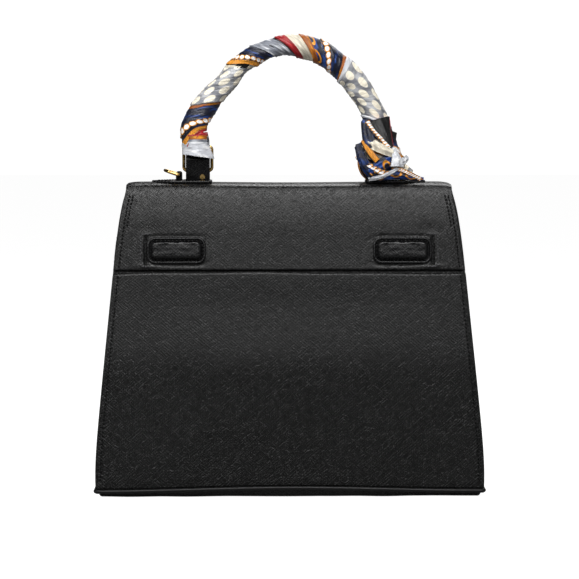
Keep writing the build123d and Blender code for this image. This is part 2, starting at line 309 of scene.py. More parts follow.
def stitches(name, runs, material, pitch=2.6, length=1.9, radius=0.42):
    """Thread along runs of points in mm, one small rounded stitch after another."""
    points, faces, sides = [], [], 6
    for run in runs:
        marks = resampled(run, pitch)
        for a, b in zip(marks, marks[1:]):
            along = (b - a).normalized()
            side = along.cross(Vector((0, 0, 1)))
            if side.length < 0.2:
                side = along.cross(Vector((0, 1, 0)))
            side.normalize()
            up = along.cross(side)
            start = len(points)
            middle = (a + b) / 2
            for place, size in ((-0.5, 0.35), (-0.36, 0.95), (0.36, 0.95), (0.5, 0.35)):
                for k in range(sides):
                    turn = 2 * math.pi * k / sides
                    points.append(
                        middle
                        + along * place * length
                        + (side * math.cos(turn) + up * math.sin(turn)) * radius * size
                    )
            faces += [tuple(start + k for k in face) for face in grid_faces(sides, 4, wrap=True)]
            faces.append(tuple(start + k for k in range(sides - 1, -1, -1)))
            faces.append(tuple(start + 3 * sides + k for k in range(sides)))
    return box_uv(add_object(name, points, faces, [material]))


# ---------------------------------------------------------------- material helpers
class Paint:
    """Short names for building a node material."""

    def __init__(self, name):
        self.material = bpy.data.materials.new(name)
        self.material.use_nodes = True
        self.tree = self.material.node_tree
        self.shader = self.tree.nodes["Principled BSDF"]
        uv = self.tree.nodes.new("ShaderNodeUVMap")
        uv.uv_map = "UVMap"
        self.uv = uv.outputs["UV"]
        split = self.tree.nodes.new("ShaderNodeSeparateXYZ")
        self.link(self.uv, split.inputs[0])
        self.u, self.v = split.outputs[0], split.outputs[1]

    def link(self, source, target):
        self.tree.links.new(source, target)

    def put(self, socket, value):
        if isinstance(value, bpy.types.NodeSocket):
            self.link(value, socket)
        else:
            socket.default_value = value

    def math(self, operation, *values):
        node = self.tree.nodes.new("ShaderNodeMath")
        node.operation = operation
        for socket, value in zip(node.inputs, values):
            self.put(socket, value)
        return node.outputs[0]

    def times(self, a, b):
        return self.math("MULTIPLY", a, b)

    def plus(self, a, b):
        return self.math("ADD", a, b)

    def minus(self, a, b):
        return self.math("SUBTRACT", a, b)

    def over(self, a, b):
        return self.math("DIVIDE", a, b)

    def step(self, value, low, high, start=0.0, end=1.0):
        """Soft step of a value between low and high."""
        node = self.tree.nodes.new("ShaderNodeMapRange")
        node.interpolation_type = "SMOOTHSTEP"
        for socket, number in zip(node.inputs, (value, low, high, start, end)):
            self.put(socket, number)
        return node.outputs[0]

    def mix(self, factor, a, b):
        node = self.tree.nodes.new("ShaderNodeMix")
        node.data_type = "RGBA"
        self.put(node.inputs[0], factor)
        self.put(node.inputs[6], a)
        self.put(node.inputs[7], b)
        return node.outputs[2]

    def noise(self, scale, detail=3.0, vector=None, roughness=0.55):
        node = self.tree.nodes.new("ShaderNodeTexNoise")
        self.put(node.inputs["Vector"], vector or self.uv)
        node.inputs["Scale"].default_value = scale
        node.inputs["Detail"].default_value = detail
        node.inputs["Roughness"].default_value = roughness
        return node.outputs["Fac"]

    def stretched(self, scale_u, scale_v, turn=0.0):
        """UV scaled apart in its two directions, for streaks."""
        node = self.tree.nodes.new("ShaderNodeMapping")
        self.link(self.uv, node.inputs["Vector"])
        node.vector_type = "TEXTURE"
        node.inputs["Rotation"].default_value = (0, 0, turn)
        node.inputs["Scale"].default_value = (1 / scale_u, 1 / scale_v, 1)
        return node.outputs[0]

    def bump(self, height, strength, distance):
        node = self.tree.nodes.new("ShaderNodeBump")
        node.inputs["Strength"].default_value = strength
        node.inputs["Distance"].default_value = distance * MM
        self.put(node.inputs["Height"], height)
        self.link(node.outputs[0], self.shader.inputs["Normal"])

    def set(self, **values):
        for name, value in values.items():
            self.put(self.shader.inputs[name.replace("_", " ")], value)
        return self.material


def colour(red, green, blue):
    """Linear colour from sRGB numbers of 0 to 255."""
    def line(c):
        c = c / 255
        return c / 12.92 if c <= 0.04045 else ((c + 0.055) / 1.055) ** 2.4
    return (line(red), line(green), line(blue), 1.0)


GRAIN_PITCH, GRAIN_DEPTH = 1.75, 0.20    # mm


def make_leather(name, base, roughness, grain):
    """Black leather pressed with short crossed strokes, whose high spots are lighter and glossier.

    v is the height in mm on the upright panels, and painted shade makes the leather darker below the bend
    of the back.
    """
    p = Paint(name)
    strokes = []
    for turn in (0.70, -0.70):
        across = p.plus(p.times(p.u, -math.sin(turn)), p.times(p.v, math.cos(turn)))
        wander = p.times(p.noise(0.3, 2), 1.5)
        wave = p.math("SINE", p.plus(p.times(across, 2 * math.pi / GRAIN_PITCH), wander))
        broken = p.step(p.noise(1.0, 2, vector=p.stretched(0.15, 0.46, turn)), 0.42, 0.54)
        strokes.append(p.times(p.step(wave, -0.1, 0.6), broken))
    hatch = p.math("MAXIMUM", strokes[0], strokes[1])
    fine = p.noise(2.4, 3)
    height = p.plus(hatch, p.times(fine, 0.5))
    p.bump(height, grain, GRAIN_DEPTH)
    cloud = p.noise(0.03, 3)
    # painted shade: this mask is 1 below the bend of the back, where it dims the lighter grain strokes
    low = p.step(p.v, BEND_Z - 13, BEND_Z + 21, 1.0, 0.0)
    wear_and_painted_shade = p.times(hatch, p.step(fine, 0.3, 0.7, 0.75, 1.0))
    # the lighter strokes are dimmed below the bend: painted shade
    wear_and_painted_shade = p.times(wear_and_painted_shade, p.minus(1.0, p.times(low, 0.6)))
    tone = p.mix(wear_and_painted_shade, colour(*[c - 4 * grain for c in base]), colour(*[c + 31 * grain for c in base]))
    rough = p.plus(p.times(p.minus(cloud, 0.5), 0.10), roughness)
    rough = p.plus(rough, p.times(p.minus(0.6, hatch), 0.16 * grain))
    rough = p.minus(rough, p.times(low, 0.08))
    return p.set(Base_Color=tone, Roughness=rough, Specular_IOR_Level=0.34)


def make_edge_paint():
    """Sealed and painted leather edge: darker and smoother, with small dents."""
    p = Paint("black_edge_paint")
    dents = p.noise(0.7, 4)
    p.bump(dents, 0.35, 0.25)
    rough = p.step(p.noise(0.25, 3), 0.3, 0.7, 0.32, 0.52)
    tone = p.mix(p.noise(0.5, 3), colour(5, 5, 5), colour(12, 12, 13))
    return p.set(Base_Color=tone, Roughness=rough, Specular_IOR_Level=0.3)


def make_thread(name, dark, light):
    """Twisted waxed thread."""
    p = Paint(name)
    twist = p.math("SINE", p.times(p.plus(p.u, p.v), 9.0))
    p.bump(twist, 0.5, 0.1)
    tone = p.mix(p.noise(1.5, 2), colour(*dark), colour(*light))
    return p.set(Base_Color=tone, Roughness=0.6, Specular_IOR_Level=0.12)


def make_gold():
    """Pale gold plating with fine scratches and random patches of slightly different tone and gloss."""
    p = Paint("pale_gold_metal")
    place = p.tree.nodes.new("ShaderNodeTexCoord").outputs["Object"]
    scratch = p.noise(900, 3, vector=place)
    cloud = p.noise(140, 3, vector=place)
    p.bump(scratch, 0.12, 0.05)
    tone = p.mix(cloud, colour(214, 170, 96), colour(244, 212, 142))
    rough = p.step(cloud, 0.3, 0.75, 0.16, 0.32)
    return p.set(Base_Color=tone, Metallic=1.0, Roughness=rough)


def make_cloth(name, dark, light):
    """Plain woven lining cloth."""
    p = Paint(name)
    warp = p.math("SINE", p.times(p.u, 2 * math.pi / 0.7))
    weft = p.math("SINE", p.times(p.v, 2 * math.pi / 0.7))
    weave = p.times(warp, weft)
    p.bump(p.plus(weave, p.noise(0.6, 3)), 0.4, 0.12)
    shade = p.plus(p.times(weave, 0.25), p.noise(0.2, 3))
    tone = p.mix(shade, colour(*dark), colour(*light))
    return p.set(Base_Color=tone, Roughness=0.8)


# ---------------------------------------------------------------- silk
# the lighter blue here is a painted highlight on the navy satin, not a print colour
NAVY, NAVY_PAINTED_HIGHLIGHT = (3, 8, 34), (20, 70, 150)
GOLD, AMBER = (226, 148, 22), (150, 78, 10)
CREAM, WHITE = (246, 238, 218), (252, 252, 252)
RED, GREY, INK = (186, 22, 32), (122, 124, 130), (6, 6, 8)


def silk_finish(p, tone, shine=0.34):
    """Satin: fine thread lines, soft creases whose hollows carry painted shade and whose crowns carry a
    painted highlight, and a sheen along the folds.
    """
    crease = p.noise(1.0, 4, vector=p.stretched(0.10, 0.55, 0.25))
    thread = p.math("SINE", p.times(p.plus(p.u, p.times(p.v, 0.4)), 14.0))
    p.bump(p.plus(crease, p.times(thread, 0.035)), 0.55, 0.9)
    # painted shade in the crease hollows and painted highlight on their crowns, through the brightness of
    # the colour
    shade = p.step(crease, 0.28, 0.60, 0.66, 1.08)
    painted_fold_shading = p.tree.nodes.new("ShaderNodeHueSaturation")
    p.put(painted_fold_shading.inputs["Color"], tone)
    p.put(painted_fold_shading.inputs["Value"], shade)
    rough = p.step(crease, 0.3, 0.7, shine + 0.1, shine - 0.04)
    return p.set(
        Base_Color=painted_fold_shading.outputs[0], Roughness=rough, Sheen_Weight=0.06, Sheen_Roughness=0.4
    )


def silk_plain(name, dark, light, shine=0.34):
    p = Paint(name)
    # painted shade and highlight: streaks that mix a darker and a lighter copy of the colour, standing in
    # for light on the satin
    painted_sheen_streaks = p.step(p.noise(1.0, 2, vector=p.stretched(0.08, 0.22)), 0.46, 0.72)
    return silk_finish(p, p.mix(painted_sheen_streaks, colour(*dark), colour(*light)), shine)


def cell(p, u, pitch):
    """Place of u inside its repeat, from -0.5 to 0.5."""
    return p.minus(p.math("FRACT", p.over(u, pitch)), 0.5)


def length2(p, a, b):
    return p.math("SQRT", p.plus(p.times(a, a), p.times(b, b)))


def silk_dots():
    """Grey satin with staggered cream dots."""
    p = Paint("silk_dots")
    pitch_u, pitch_v = 9.8, 8.2
    row = p.math("FLOOR", p.over(p.v, pitch_v))
    shift = p.times(p.math("MODULO", row, 2.0), pitch_u / 2)
    du = p.over(p.times(cell(p, p.plus(p.u, shift), pitch_u), pitch_u), 3.1)
    dv = p.over(p.times(cell(p, p.v, pitch_v), pitch_v), 3.7)
    dot = p.step(length2(p, du, dv), 0.9, 1.04, 1.0, 0.0)
    ground = p.mix(p.step(p.noise(0.10, 2), 0.40, 0.62), colour(*GREY), colour(186, 187, 190))
    return silk_finish(p, p.mix(dot, ground, colour(*CREAM)))


def silk_rope(band):
    """Twisted white rope with gold outlines on navy, running along the band."""
    p = Paint("silk_rope")
    middle = p.minus(p.v, band / 2)
    slant = p.plus(p.u, p.times(middle, 0.75))
    du = p.over(cell(p, slant, 3.9), 0.47)
    dv = p.over(middle, band * 0.40)
    away = length2(p, du, dv)
    strand = p.step(away, 0.78, 0.9, 1.0, 0.0)
    outline = p.step(away, 1.05, 1.2, 1.0, 0.0)
    tone = p.mix(outline, colour(*NAVY), colour(*GOLD))
    return silk_finish(p, p.mix(strand, tone, colour(*WHITE)))


def silk_belt(band):
    """Printed gold strap with dark borders and stitch ticks."""
    p = Paint("silk_belt")
    place = p.over(p.v, band)
    tick = p.step(p.math("ABSOLUTE", cell(p, p.u, 1.7)), 0.16, 0.22, 1.0, 0.0)
    near = p.math("ABSOLUTE", p.minus(p.math("ABSOLUTE", p.minus(place, 0.5)), 0.27))
    ticks = p.times(tick, p.step(near, 0.05, 0.09, 1.0, 0.0))
    border = p.step(p.math("ABSOLUTE", p.minus(place, 0.5)), 0.40, 0.44)
    tone = p.mix(p.noise(0.3, 2), colour(*GOLD), colour(224, 150, 60))
    tone = p.mix(ticks, tone, colour(*AMBER))
    return silk_finish(p, p.mix(border, tone, colour(*INK)))


def silk_rings():
    """Navy satin with painted blue highlights in streaks, and scattered gold rings."""
    p = Paint("silk_rings")
    du = p.times(cell(p, p.u, 13.0), 13.0)
    dv = p.times(cell(p, p.plus(p.v, 6.0), 12.0), 12.0)
    away = length2(p, p.over(du, 4.4), p.over(dv, 3.1))
    ring = p.step(p.math("ABSOLUTE", p.minus(away, 1.0)), 0.17, 0.24, 1.0, 0.0)
    # painted highlight: streaks of lighter blue on the navy satin
    painted_sheen_streaks = p.step(p.noise(1.0, 2, vector=p.stretched(0.1, 0.25)), 0.42, 0.62)
    tone = p.mix(painted_sheen_streaks, colour(*NAVY), colour(*NAVY_PAINTED_HIGHLIGHT))
    return silk_finish(p, p.mix(ring, tone, colour(*GOLD)))


BAND_ROPE, BAND_BELT = 5.5, 5.0
leather = make_leather("black_grained_leather", (6, 6, 6), 0.30, 1.0)
leather_soft = make_leather("black_smooth_leather", (6, 6, 7), 0.26, 0.3)
edge_paint = make_edge_paint()
thread = make_thread("black_thread", (2, 2, 2), (8, 8, 8))
# light grey thread for the stitches by the slits: painted highlight standing in for glints on dark thread
thread_painted_glint = make_thread("painted_glint_thread", (44, 44, 46), (96, 96, 98))
gold = make_gold()
lining = make_cloth("black_lining_cloth", (18, 18, 20), (46, 46, 50))
board = make_cloth("grey_board", (70, 66, 60), (96, 90, 82))
SILKS = {
    "dots": silk_dots(),
    "rope": silk_rope(BAND_ROPE),
    "belt": silk_belt(BAND_BELT),
    "rings": silk_rings(),
    # each plain silk gets a darker and a lighter copy of its colour, mixed into painted shade and highlight
    # streaks
    "navy": silk_plain("silk_navy", NAVY, NAVY_PAINTED_HIGHLIGHT, 0.30),
    "red": silk_plain("silk_red", (150, 14, 22), RED),
    "cream": silk_plain("silk_cream", (206, 198, 180), CREAM),
    "white": silk_plain("silk_white", (198, 200, 206), WHITE),
    "silver": silk_plain("silk_silver", (118, 122, 132), (226, 228, 232), 0.28),
    "gold": silk_plain("silk_gold", AMBER, GOLD),
    "ink": silk_plain("silk_ink", (2, 2, 3), (9, 9, 12)),
}
SILK_NAMES = list(SILKS)


# ---------------------------------------------------------------- body, a shell from the back over the top
ROUND_START = 207.0     # height where the back starts to turn over
ROUND_END_Y = 6.0       # where the top is level
BEND_R = 7.3            # front top edge
FRONT_CENTRE = (-19.12, 219.0)
SHELL_T = 1.8
TONGUE_ROOT = TONGUE_HALF + TONGUE_R
COLUMN_BREAKS = [0, 4.3, TONGUE_ROOT, 60, 101, 111, 120.5, 124.5]
COLUMN_STEPS = [2.2, 2.4, 3.0, 2.6, 0.65, 1.6, 0.7]
FRONT_HALF = 124.5      # half width of the flap at its side edge, which the columns are laid out at


def back_relief(x, z):
    """Slit, dimples and rolled side edge of the back, in mm outward."""
    slit = rounded_distance(abs(x) - SLIT_X, z - BELT_Z, 1.3, BELT_H / 2 + 0.6, 1.2)
    level = -1.6 * smooth(0.35, -0.9, slit)
    tab = rounded_distance(abs(x) - TAB_MIDDLE, z - BELT_Z, TAB_HALF, BELT_H / 2, 5.0)
    level -= 0.7 * hump(tab - 0.6, 1.0)
    frame_line = rounded_distance(abs(x) - SLIT_X, z - BELT_Z, 4.6, BELT_H / 2 + 2.6, 2.5)
    level += 0.15 * smooth(1.2, -0.6, frame_line) * smooth(-0.2, 1.2, slit)
    level -= 0.5 * hump(abs(x) - 101, 10) * hump(z - BELT_Z - 15.0, 4.5)
    level += 0.9 * hump(abs(x) - 102, 9) * hump(z - 166.8, 1.7)
    mouth = z - POCKET_TOP
    level -= 1.8 * smooth(-3, -1.2, mouth) * smooth(2.2, 0.8, mouth)
    edge = half_w(z) - abs(x)
    level -= 1.5 * (1 - min(edge / 2.2, 1.0)) ** 2
    level -= 0.22 * hump(edge - SEAM_IN, 0.7)
    level -= 0.4 * smooth(4.8, 3.4, edge)
    return level


def shell_back(u, z):
    x = u * half_w(z)
    z_row = z + base_bow(x) * (1 - rise(z)) ** 6
    return on_panel(1, x, z_row, swell(x, z) + back_relief(x, z))


def droop(x):
    """The leather over the top drops towards its side edges."""
    return 1.1 * max(0.0, (abs(x) - 112) / 9) ** 2 + 0.35 * math.cos(x / 31)


def shell_over(u, y, z):
    x = u * half_w(BODY_TOP)
    return Vector((x, y, z - droop(x)))


def rear_round(u):
    """One column of points over the soft rear top edge."""
    x = u * half_w(BODY_TOP)
    back = [shell_back(u, z) for z in (ROUND_START, 214.0)]
    edge = on_panel(1, x, 221.5, swell(x, 221.5))
    over = [shell_over(u, 16.0, FLAP_TOP - 0.5), shell_over(u, ROUND_END_Y, FLAP_TOP)]
    return smooth_path(back + [edge] + over, 3)


def flap_front(x, z):
    """Outer face of the flap where it hangs in front."""
    level = FLAP_OUT - 0.25 * hump(z - (FLAP_SIDE_Z + 4), 0.8)
    flat = z - level * SIN_LEAN
    return on_panel(-1, x, flat, level)


def rounded_corner(x, z, corner_x, corner_z, radius):
    """Moves a point of a square corner onto a round one. The corner is at (corner_x, corner_z), low."""
    a = (abs(x) - (corner_x - radius)) / radius
    b = ((corner_z + radius) - z) / radius
    if a <= 0 or b <= 0:
        return x, z
    pull = max(a, b) / math.hypot(a, b)
    return (
        math.copysign(corner_x - radius + a * radius * pull, x),
        corner_z + radius - b * radius * pull,
    )


def tongue_half(z):
    """Half width of the tongue, with its hollow fillets under the sides of the flap."""
    if z <= FLAP_SIDE_Z - TONGUE_R:
        return TONGUE_HALF
    return TONGUE_HALF + TONGUE_R - math.sqrt(max(TONGUE_R ** 2 - (z - FLAP_SIDE_Z + TONGUE_R) ** 2, 0))


def build_shell():
    """Back, rounded rear edge, top, front bend and flap with its tongue: one continuous sheet."""
    columns = [x / FRONT_HALF for x in mirrored(spaced(COLUMN_BREAKS, COLUMN_STEPS))]
    across = len(columns)
    rows = []
    for z in spaced([FOOT_H, 10, 158, 168, 191, ROUND_START], [1.6, 3.6, 0.6, 0.8, 1.8])[:-1]:
        rows.append([shell_back(u, z) for u in columns])
    rows += [list(row) for row in zip(*[rear_round(u) for u in columns])]
    for y in spaced([ROUND_END_Y, FRONT_CENTRE[0]], [3.6])[1:]:
        rows.append([shell_over(u, y, FLAP_TOP) for u in columns])
    for i in range(1, 9):
        turn = (math.pi / 2 - LEAN) * i / 8
        y = FRONT_CENTRE[0] - BEND_R * math.sin(turn)
        z = FRONT_CENTRE[1] + BEND_R * math.cos(turn)
        fade = 1 - smooth(0, 8, i)
        rows.append([Vector((u * half_w(BODY_TOP), y, z - droop(u * 120) * fade)) for u in columns])
    bend_low = FRONT_CENTRE[1] + BEND_R * SIN_LEAN
    for z in spaced([bend_low, FLAP_SIDE_Z + 9, FLAP_SIDE_Z], [2.4, 1.0])[1:]:
        row = []
        for u in columns:
            half = half_w(z) + 0.3
            row.append(flap_front(*rounded_corner(u * half, z, half_w(FLAP_SIDE_Z) + 0.3, FLAP_SIDE_Z, 8)))
        rows.append(row)
    points = [p for row in rows for p in row]
    faces = grid_faces(across, len(rows))

    tongue_columns = [i for i, u in enumerate(columns) if abs(u) * FRONT_HALF <= TONGUE_ROOT + 0.01]
    previous = [(len(rows) - 1) * across + i for i in tongue_columns]
    slot_low, slot_high = 160.3, 184.7
    levels = spaced([FLAP_SIDE_Z, slot_high, slot_low, TONGUE_Z + TONGUE_R, TONGUE_Z], [0.9, 2.2, 2.2, 0.9])
    for z_above, z in zip(levels, levels[1:]):
        current = []
        for i in tongue_columns:
            x = columns[i] * FRONT_HALF / TONGUE_ROOT * tongue_half(z)
            current.append(len(points))
            points.append(flap_front(*rounded_corner(x, z, TONGUE_HALF, TONGUE_Z, TONGUE_R)))
        middle_z = (z + z_above) / 2
        for k in range(len(current) - 1):
            middle_x = (points[current[k]].x + points[current[k + 1]].x) / 2
            in_slot = abs(middle_x) < 3.2 and slot_low < middle_z < slot_high
            if not in_slot:
                faces.append((previous[k], previous[k + 1], current[k + 1], current[k]))
        previous = current
    shell = add_object("body_shell", points, [face[::-1] for face in faces], [leather])
    thicken(shell, SHELL_T)
    box_uv(shell)
    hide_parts("back_panel", "flap")
    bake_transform(shell)
    return shell


def panel_sheet(name, side, low, high, level, thickness, steps=(3.2, 3.2), lift=None):
    """Leather sheet on the back (1) or front (-1), between two heights."""
    us = [-1 + 2 * i / round(2 * 130 / steps[0]) for i in range(round(2 * 130 / steps[0]) + 1)]
    zs = spaced([low, high - 4, high], [steps[1], 0.35])
    points = []
    for z in zs:
        for u in us:
            x = u * half_w(z)
            row_z = z + base_bow(x) * (1 - rise(z)) ** 6
            out = level(x, z)
            if lift:
                row_z += lift(x) * smooth(high - 12, high, z)
            points.append(on_panel(side, x, row_z, out))
    faces = grid_faces(len(us), len(zs))
    if side > 0:
        faces = [face[::-1] for face in faces]
    sheet = add_object(name, points, faces, [leather])
    thicken(sheet, thickness, edge=0.45)
    return box_uv(sheet)


def pocket_level(x, z):
    edge = half_w(z) - abs(x)
    gape = 0.9 * smooth(POCKET_TOP - 26, POCKET_TOP, z) * (1 - (abs(x) / half_w(z)) ** 6)
    gape -= 1.5 * (1 - min((POCKET_TOP - z) / 2.4, 1.0)) ** 2
    rolled = 1.1 * (1 - min(edge / 2.6, 1.0)) ** 2 + 0.25 * hump(edge - SEAM_IN, 0.7)
    return swell(x, z) + 1.25 + gape - rolled


def pocket_wave(x):
    """The mouth of the pocket isn't quite straight."""
    return 0.5 * math.sin(x / 37 + 0.6) + 0.25 * math.sin(x / 13)


def front_level(x, z):
    edge = half_w(z) - abs(x)
    belly = BACK_BULGE * math.sin(math.pi * min(max((z - 8) / 142, 0), 1)) ** 2
    return belly * (1 - (abs(x) / half_w(z)) ** 4) - 1.2 * (1 - min(edge / 2.2, 1.0)) ** 2


def build_gusset(name, side):
    """Folding side: a soft V that is shallow at the base and deep at the top."""
    folds = ((6.2, 1.5), (60.0, 5.0), (110.0, 9.5), (165.0, 15.0), (GUSSET_TOP, 22.0))
    zs = spaced([6.2, 200, GUSSET_TOP], [3.4, 1.0])
    vs = [-1 + 2 * i / 36 for i in range(37)]
    points = []
    for z in zs:
        for low, high in zip(folds, folds[1:]):
            if low[0] <= z <= high[0]:
                fold = low[1] + (high[1] - low[1]) * (z - low[0]) / (high[0] - low[0])
        reach = half_d(z) - PANEL_INSET - 0.05
        for v in vs:
            depth = fold * (math.hypot(1, 0.18) - math.hypot(abs(v), 0.18)) / (math.hypot(1, 0.18) - 0.18)
            billow = 1.6 * math.sin(math.pi * abs(v)) * (1 - rise(z) * 0.5)
            billow += 0.5 * noise.noise(Vector((v * 3, z / 22, side * 4.0)))
            x = half_w(z) - 1.6 - depth + billow * (1 - abs(v) ** 6)
            points.append(Vector((side * x, v * reach, z)))
    faces = grid_faces(len(vs), len(zs))
    if side < 0:
        faces = [face[::-1] for face in faces]
    gusset = add_object(f"gusset_{name}_folded", points, faces, [leather])
    thicken(gusset, 1.8)
    box_uv(gusset)
    return assign(gusset, "black_leather", "bag_body", f"gusset_{name}")


def build_welt():
    """Piping round the foot of the bag, bowed with it."""
    half_x, half_y, radius, corner, sides = 141.3, 61.2, 1.4, 3.0, 12
    path = []
    for x in spaced([-half_x + corner, half_x - corner], [4.0]):
        path.append((x, half_y))
    for centre_x, centre_y, start in ((1, 1, 90), (1, -1, 0), (-1, -1, -90), (-1, 1, -180)):
        for i in range(1, 7):
            turn = math.radians(start - 15 * i)
            path.append((
                centre_x * (half_x - corner) + corner * math.cos(turn),
                centre_y * (half_y - corner) + corner * math.sin(turn),
            ))
        if start == 0:
            path += [(x, -half_y) for x in spaced([half_x - corner, corner - half_x], [4.0])[1:]]
    points = []
    count = len(path)
    for i, (x, y) in enumerate(path):
        ahead, behind = path[(i + 1) % count], path[i - 1]
        along = Vector((ahead[0] - behind[0], ahead[1] - behind[1], 0)).normalized()
        out = Vector((along.y, -along.x, 0))
        if out.dot(Vector((x, y, 0))) < 0:
            out = -out
        bow = base_bow(x) * smooth(0.5, 0.98, abs(y) / half_y)
        centre = Vector((x, y, FOOT_H + 1.7 + bow))
        for k in range(sides):
            turn = 2 * math.pi * k / sides
            size = radius * (1 + 0.05 * noise.noise(Vector((x / 9, y / 9, k))))
            points.append(centre + out * math.cos(turn) * size + Vector((0, 0, math.sin(turn) * size)))
    faces = grid_faces(sides, count, wrap=True, closed=True)
    welt = add_object("base_welt_piping", points, faces, [edge_paint])
    box_uv(welt)
    return assign(welt, "black_edge", "bag_body", "base_welt")


BASE_HALF_X, BASE_HALF_Y = 139.6, 59.6


def build_base():
    """Soft base that sags to the floor, with a rolled border up to the piping."""
    us = mirrored(spaced([0, 134, BASE_HALF_X], [4.0, 0.7]))
    vs = mirrored(spaced([0, 54, BASE_HALF_Y], [4.0, 0.7]))
    points = []
    for y in vs:
        for x in us:
            edge = min(BASE_HALF_X - abs(x), BASE_HALF_Y - abs(y))
            wall = (5.4 + base_bow(x) * smooth(0.5, 0.98, abs(y) / 60)) * (1 - min(edge / 3.2, 1.0)) ** 2.4
            points.append(Vector((x, y, 0.7 + wall + 0.5 * noise.noise(Vector((x / 30, y / 25, 0))))))
    base = add_object("base_leather", points, [f[::-1] for f in grid_faces(len(us), len(vs))], [leather])
    thicken(base, 2.4)
    box_uv(base)
    return assign(base, "black_leather", "bag_body", "base_panel")


# ---------------------------------------------------------------- belt
def tab_height(x, z):
    """Padded face of the belt tab above the back: raised rim, sewn groove, swollen middle."""
    inward = -rounded_distance(x - TAB_MIDDLE, z - BELT_Z, TAB_HALF, BELT_H / 2, TAB_CORNER)
    if inward <= 0:
        return -0.25
    rim = 2.0 * math.sqrt(1 - (1 - min(inward / 1.5, 1.0)) ** 2)
    groove = 1.3 * hump(inward - TAB_GROOVE, 0.65)
    middle = 2.5 * smooth(TAB_GROOVE, 5.6, inward)
    ridge_z = BELT_Z + 5.9 + 0.35 * math.sin(x / 3.1)
    uneven = 0.7 + noise.noise(Vector((x / 4, 2.0, 0)))
    middle += 0.9 * uneven * hump(z - ridge_z, 0.8) * smooth(2.8, 4.0, inward)
    crease = 0.16 * noise.noise(Vector((x / 9, z / 3.0, 0.7))) * smooth(3.0, 5.0, inward)
    crease += 0.10 * noise.noise(Vector((x / 2.2, z / 1.8, 4.7))) * smooth(3.0, 5.0, inward)
    return rim - groove + middle + crease - 0.2


def build_tab(name, side):
    """Sewn tab of the belt on the back; its far end dives into the slit."""
    xs = spaced([TAB_IN, TAB_IN + 7, TAB_END - 7, TAB_END], [0.35, 0.7, 0.35])
    hs = spaced([-10, -5, 5, 10], [0.35, 0.55, 0.35])

    def place(x, h):
        a = (abs(x - TAB_MIDDLE) - (TAB_HALF - TAB_CORNER)) / TAB_CORNER
        b = (abs(h) - (BELT_H / 2 - TAB_CORNER)) / TAB_CORNER
        if a > 0 and b > 0:
            pull = max(a, b) / math.hypot(a, b)
            x = TAB_MIDDLE + math.copysign(TAB_HALF - TAB_CORNER + a * TAB_CORNER * pull, x - TAB_MIDDLE)
            h = math.copysign(BELT_H / 2 - TAB_CORNER + b * TAB_CORNER * pull, h)
        return x, BELT_Z + h

    def top(x, h):
        x, z = place(x, h)
        return on_panel(1, side * x, z, swell(side * x, z) + tab_height(x, z))

    def bottom(x, h):
        x, z = place(x, h)
        return on_panel(1, side * x, z, swell(side * x, z) - 0.6)

    tab = closed_sheet(f"belt_{name}_tab", xs, hs, top, bottom, leather_soft)
    return assign(tab, "black_leather", "bag_body", f"belt_{name}_rear")


def strap_line(path_at, z):
    """Smooth line of a strap at one height."""
    return smooth_path([Vector((x, y, z)) for x, y in path_at(z)], 3)


def strap_piece(name, side, path_at, thickness, material, step=2.0):
    """Strap that stands on edge and follows a plan path, leaning with the panels."""
    half = BELT_H / 2
    hs = spaced([-half, -half + 1.2, half - 1.2, half], [0.3, 1.6, 0.3])
    rails = {h: strap_line(path_at, BELT_Z + h) for h in hs}
    count = min(len(resampled(rail, step)) for rail in rails.values())
    lines = {h: resampled(rail, path_length(rail) / (count - 1)) for h, rail in rails.items()}

    def face(i, h, sign):
        line = lines[h]
        a, b = line[max(i - 1, 0)], line[min(i + 1, len(line) - 1)]
        along = (b - a).normalized()
        out = Vector((along.y, -along.x, 0))
        edge = half - abs(h)
        swellness = math.sqrt(1 - (1 - min(edge / 1.0, 1.0)) ** 2)
        end = min(i, count - 1 - i)
        swellness *= (0.0, 0.85, 1.0)[min(end, 2)]
        groove = 0.28 * hump(edge - 2.4, 0.6)
        point = line[i] + out * sign * (thickness / 2 * swellness - groove * swellness)
        return Vector((side * point.x, point.y, point.z))

    return closed_sheet(
        name, list(range(count)), hs, lambda i, h: face(i, h, 1), lambda i, h: face(i, h, -1), material
    )


def rear_path(z):
    """From behind the slit, inside past the gusset, then outside round to the front edge."""
    d, w = half_d(z), half_w(z)
    inside = d - PANEL_INSET - 1.6
    return [
        (105.6, d + 0.2),
        (107.0, inside + 1.0),
        (108.5, inside),
        (w - 6.5, inside),
        (w - 2.5, inside - 2.5),
        (w - 0.3, d - 9.0),
        (w - 0.2, d - 20),
        (w - 0.3, 0),
        (w - 0.1, 4.5 - d),
    ]


def front_path(z):
    """Round the front side edge, along the front and up over the tongue of the flap."""
    d, w = half_d(z), half_w(z)
    return [
        (w + 0.9, 2.0 - d),
        (w + 0.9, 0.5 - d),
        (w + 0.3, -d - 1.6),
        (w - 3.0, -d - 1.9),
        (80.0, -d - 1.9),
        (46.0, -d - 2.0),
        (36.0, -d - 5.4),
        (28.0, -d - 5.4),
        (17.5, -d - 5.4),
    ]


def build_belt(name, side):
    build_tab(name, side)
    rear = strap_piece(f"belt_{name}_round_side", side, rear_path, 2.2, leather_soft)
    assign(rear, "black_leather", "bag_body")
    front = strap_piece(f"belt_{name}_strap", side, front_path, 2.0, leather_soft)
    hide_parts(f"belt_{name}_front")
    corner_x, corner_y = half_w(BELT_Z) * MM, -half_d(BELT_Z) * MM
    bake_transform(front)


# ---------------------------------------------------------------- seams
STITCH_RISE = 0.3       # the middle of a thread stands this far above the leather


def upright_points(corners, step):
    """Even points through corners given as (x, z)."""
    return resampled([Vector((x, 0, z)) for x, z in corners], step)


def line_points(level, side, corners, step=2.0):
    """Points on a panel along corners given as (x, z)."""
    return [on_panel(side, p.x, p.z, level(p.x, p.z)) for p in upright_points(corners, step)]


